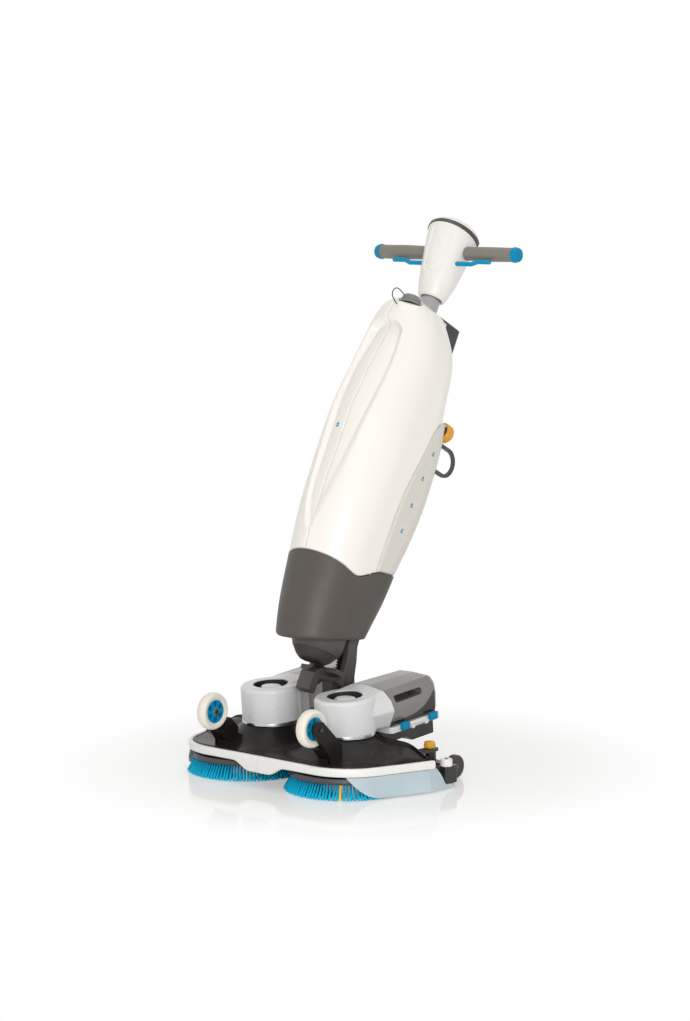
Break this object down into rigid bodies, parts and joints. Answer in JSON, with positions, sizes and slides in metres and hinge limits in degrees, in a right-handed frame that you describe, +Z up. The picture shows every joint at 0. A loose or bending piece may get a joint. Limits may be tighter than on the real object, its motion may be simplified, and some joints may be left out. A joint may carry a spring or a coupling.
{
  "type": "upright floor scrubber",
  "caption": "Upright two-brush floor scrubber with a leaning tank body, handlebar, slide-in batteries, transport wheels and rear squeegee.",
  "frame": {"origin": "on the floor, under the middle of the machine's footprint box", "axes": "+X to the operator's left, +Y back towards the operator, +Z up; the body leans back towards +Y"},
  "size_m": [0.622, 0.7076, 1.1805],
  "materials": {
    "deck_black": "glossy moulded",
    "trim_white": "glossy moulded",
    "skirt_clear": "translucent sheet",
    "drive_grey": "satin moulded",
    "motor_black": "satin",
    "flange_metal": "machined",
    "tray_black": "textured",
    "joint_metal": "satin black",
    "steel": "ground",
    "blade_rubber": "matt",
    "hose_black": "corrugated",
    "battery_grey": "metallic satin",
    "accent_blue": "glossy",
    "lever_blue": "glossy",
    "accent_yellow": "glossy",
    "wheel_grey": "matt",
    "tyre_cream": "satin urethane",
    "brush_grey": "moulded",
    "gear_nylon": "nylon",
    "gear_steel": "hobbed",
    "bristle_blue": "nylon bristle",
    "cup_grey": "satin moulded",
    "vacuum_black": "satin",
    "tube_silver": "anodised",
    "tank_cream": "glossy rotomoulded",
    "cap_grey": "ribbed",
    "tether_cord": "smooth",
    "head_white": "glossy moulded",
    "gasket_dark": "matt",
    "button_grey": "satin",
    "bar_steel": "tube",
    "grip_grey": "soft touch"
  },
  "bodies": {
    "deck": {"deck_shell": "deck_black", "bumper_halves": "trim_white", "side_skirts": "skirt_clear", "motor_housings": "drive_grey", "motors": "motor_black", "motor_flanges": "flange_metal", "battery_bases": "trim_white", "battery_trays": "tray_black", "pivot_bracket": "joint_metal", "axles": "steel", "squeegee_carrier": "tray_black", "squeegee_blades": "blade_rubber", "transport_arms": "deck_black", "suction_hose_lower": "hose_black"},
    "cross": {"pivot_cross": "joint_metal"},
    "column": {"yoke": "joint_metal", "lower_housing": "cup_grey", "vacuum_motor": "vacuum_black", "vacuum_grille": "cup_grey", "suction_hose_upper": "hose_black", "column_tube": "tube_silver", "tank_left": "tank_cream", "tank_right": "tank_cream", "rear_tank": "tank_cream", "cap_tether": "tether_cord", "junction_box": "tray_black", "plug_strap": "tray_black", "head_shell": "head_white", "head_gasket": "gasket_dark", "head_cap": "trim_white", "handlebar": "bar_steel", "grips": "grip_grey", "end_caps": "accent_blue"},
    "filler_cap": {"filler_cap": "cap_grey"},
    "drain_plug": {"drain_plug": "accent_yellow"},
    "button_power": {"button_power": "button_grey"},
    "brush_left": {"brush_hub_left": "gear_nylon", "brush_disc_left": "brush_grey", "bristles_left": "bristle_blue"},
    "pinion_left": {"pinion_left": "gear_steel"},
    "transport_wheel_left": {"transport_tyre_left": "tyre_cream", "transport_hub_left": "accent_blue"},
    "rear_wheel_left": {"rear_wheel_left": "wheel_grey"},
    "corner_roller_left": {"corner_roller_left": "trim_white"},
    "squeegee_knob_left": {"squeegee_knob_left": "accent_yellow"},
    "battery_left": {"battery_left": "battery_grey"},
    "latches_left": {"latches_left": "accent_blue"},
    "lever_left": {"lever_left": "lever_blue"},
    "brush_right": {"brush_hub_right": "gear_nylon", "brush_disc_right": "brush_grey", "bristles_right": "bristle_blue"},
    "pinion_right": {"pinion_right": "gear_steel"},
    "transport_wheel_right": {"transport_tyre_right": "tyre_cream", "transport_hub_right": "accent_blue"},
    "rear_wheel_right": {"rear_wheel_right": "wheel_grey"},
    "corner_roller_right": {"corner_roller_right": "trim_white"},
    "squeegee_knob_right": {"squeegee_knob_right": "accent_yellow"},
    "battery_right": {"battery_right": "battery_grey"},
    "latches_right": {"latches_right": "accent_blue"},
    "lever_right": {"lever_right": "lever_blue"}
  },
  "joints": [
    {"name": "body_roll", "type": "hinge", "parent": "deck", "child": "cross", "pos_m": [0, -0.09682, 0.15], "axis": [0, 1, 0], "range_deg": [-8, 8], "deforming": ["suction_hose_lower"]},
    {"name": "body_lean", "type": "hinge", "parent": "cross", "child": "column", "pos_m": [0, -0.09682, 0.201], "axis": [-1, 0, 0], "range_deg": [-27.5, 40], "deforming": ["suction_hose_upper"]},
    {"name": "filler_cap_turn", "type": "hinge", "parent": "column", "child": "filler_cap", "pos_m": [0.024, 0.13612, 0.99066], "axis": [0, 0.4617, 0.887], "range_deg": [0, 120]},
    {"name": "drain_plug_turn", "type": "hinge", "parent": "column", "child": "drain_plug", "pos_m": [0.058, 0.20846, 0.70949], "axis": [0, 0.887, -0.4617], "range_deg": [0, 120]},
    {"name": "button_power_press", "type": "slide", "parent": "column", "child": "button_power", "axis": [0, -0.7254, -0.6884], "range_m": [0, 0.0025], "stiffness_N_per_m": 400, "springref_m": -0.002},
    {"name": "brush_spin_left", "type": "hinge", "parent": "deck", "child": "brush_left", "pos_m": [0.14, -0.20683, 0.031], "axis": [0, 0, 1], "continuous": true},
    {"name": "pinion_spin_left", "type": "hinge", "parent": "deck", "child": "pinion_left", "pos_m": [0.10568, -0.16776, 0.103], "axis": [0, 0, 1], "continuous": true},
    {"name": "transport_wheel_spin_left", "type": "hinge", "parent": "deck", "child": "transport_wheel_left", "pos_m": [0.141, -0.31383, 0.142], "axis": [1, 0, 0], "continuous": true},
    {"name": "rear_wheel_spin_left", "type": "hinge", "parent": "deck", "child": "rear_wheel_left", "pos_m": [0.25, 0.01717, 0.025], "axis": [1, 0, 0], "continuous": true},
    {"name": "corner_roller_spin_left", "type": "hinge", "parent": "deck", "child": "corner_roller_left", "pos_m": [0.298, -0.06882, 0.046], "axis": [0, 0, 1], "continuous": true},
    {"name": "squeegee_knob_turn_left", "type": "hinge", "parent": "deck", "child": "squeegee_knob_left", "pos_m": [0.235, -0.04682, 0.066], "axis": [0, 0, 1], "continuous": true},
    {"name": "latches_open_left", "type": "hinge", "parent": "deck", "child": "latches_left", "pos_m": [0.17168, -0.05207, 0.10705], "axis": [0, 0.9969, 0.0785], "range_deg": [0, 60], "stiffness_Nm_per_rad": 0.1, "springref_deg": -17.19},
    {"name": "battery_slide_left", "type": "slide", "parent": "deck", "child": "battery_left", "axis": [0, 0.9969, 0.0785], "range_m": [0, 0.08]},
    {"name": "lever_squeeze_left", "type": "hinge", "parent": "column", "child": "lever_left", "pos_m": [0.036, 0.26764, 1.07439], "axis": [0, -0.887, 0.4617], "range_deg": [0, 3.5], "stiffness_Nm_per_rad": 3, "springref_deg": -2.86},
    {"name": "brush_spin_right", "type": "hinge", "parent": "deck", "child": "brush_right", "pos_m": [-0.14, -0.20683, 0.031], "axis": [0, 0, 1], "continuous": true},
    {"name": "pinion_spin_right", "type": "hinge", "parent": "deck", "child": "pinion_right", "pos_m": [-0.10568, -0.16776, 0.103], "axis": [0, 0, 1], "continuous": true},
    {"name": "transport_wheel_spin_right", "type": "hinge", "parent": "deck", "child": "transport_wheel_right", "pos_m": [-0.141, -0.31383, 0.142], "axis": [1, 0, 0], "continuous": true},
    {"name": "rear_wheel_spin_right", "type": "hinge", "parent": "deck", "child": "rear_wheel_right", "pos_m": [-0.25, 0.01717, 0.025], "axis": [1, 0, 0], "continuous": true},
    {"name": "corner_roller_spin_right", "type": "hinge", "parent": "deck", "child": "corner_roller_right", "pos_m": [-0.298, -0.06882, 0.046], "axis": [0, 0, 1], "continuous": true},
    {"name": "squeegee_knob_turn_right", "type": "hinge", "parent": "deck", "child": "squeegee_knob_right", "pos_m": [-0.235, -0.04682, 0.066], "axis": [0, 0, 1], "continuous": true},
    {"name": "latches_open_right", "type": "hinge", "parent": "deck", "child": "latches_right", "pos_m": [-0.17168, -0.05207, 0.10705], "axis": [0, -0.9969, -0.0785], "range_deg": [0, 60], "stiffness_Nm_per_rad": 0.1, "springref_deg": -17.19},
    {"name": "battery_slide_right", "type": "slide", "parent": "deck", "child": "battery_right", "axis": [0, 0.9969, 0.0785], "range_m": [0, 0.08]},
    {"name": "lever_squeeze_right", "type": "hinge", "parent": "column", "child": "lever_right", "pos_m": [-0.036, 0.26764, 1.07439], "axis": [0, 0.887, -0.4617], "range_deg": [0, 3.5], "stiffness_Nm_per_rad": 3, "springref_deg": -2.86}
  ],
  "couplings": [
    {"joint": "pinion_spin_left", "follows": "brush_spin_left", "ratio": -2.25},
    {"joint": "pinion_spin_right", "follows": "brush_spin_right", "ratio": -2.25}
  ]
}
